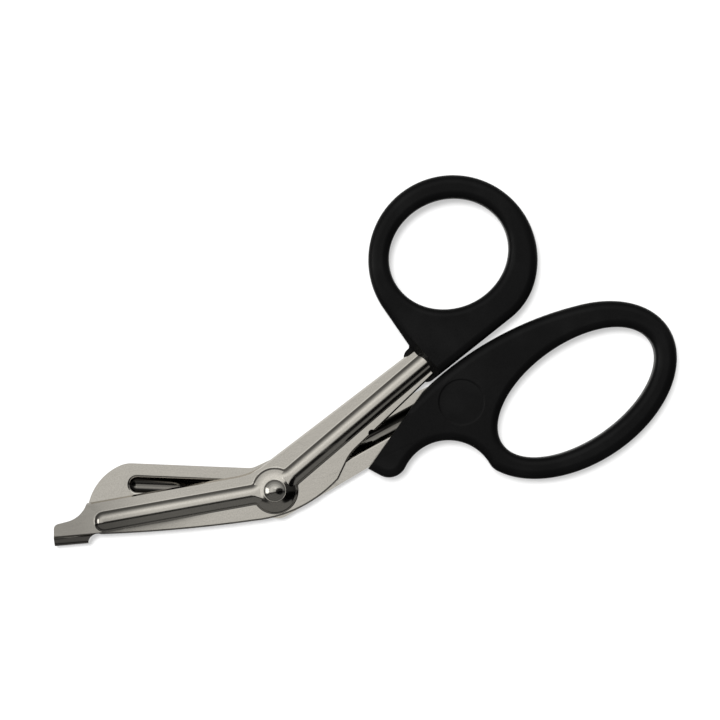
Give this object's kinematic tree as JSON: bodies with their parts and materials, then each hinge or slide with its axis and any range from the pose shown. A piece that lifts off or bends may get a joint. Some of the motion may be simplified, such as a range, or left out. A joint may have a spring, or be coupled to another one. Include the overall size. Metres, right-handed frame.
{
  "type": "bandage scissors",
  "caption": "Angled bandage shears with pressed steel blades, a folded blunt foot on the lower jaw, a domed pivot rivet, and moulded plastic ring and loop handles.",
  "frame": {"origin": "on the pivot axis, at the surface that the closed shears lie on", "axes": "+Z along the pivot, towards the rivet's domed head; the finger blade points along -X and the handles lie towards +X"},
  "size_m": [0.1788, 0.1126, 0.01],
  "materials": {
    "blade_steel": "satin",
    "rivet_steel": "polished",
    "handle_plastic": "satin"
  },
  "bodies": {
    "finger_half": {"finger_blade": "blade_steel", "finger_handle": "handle_plastic", "rivet": "rivet_steel"},
    "thumb_half": {"thumb_blade": "blade_steel", "thumb_handle": "handle_plastic"}
  },
  "joints": [
    {"name": "pivot", "type": "hinge", "parent": "finger_half", "child": "thumb_half", "pos_m": [0, 0, 0], "axis": [0, 0, 1], "range_deg": [0, 90]}
  ]
}
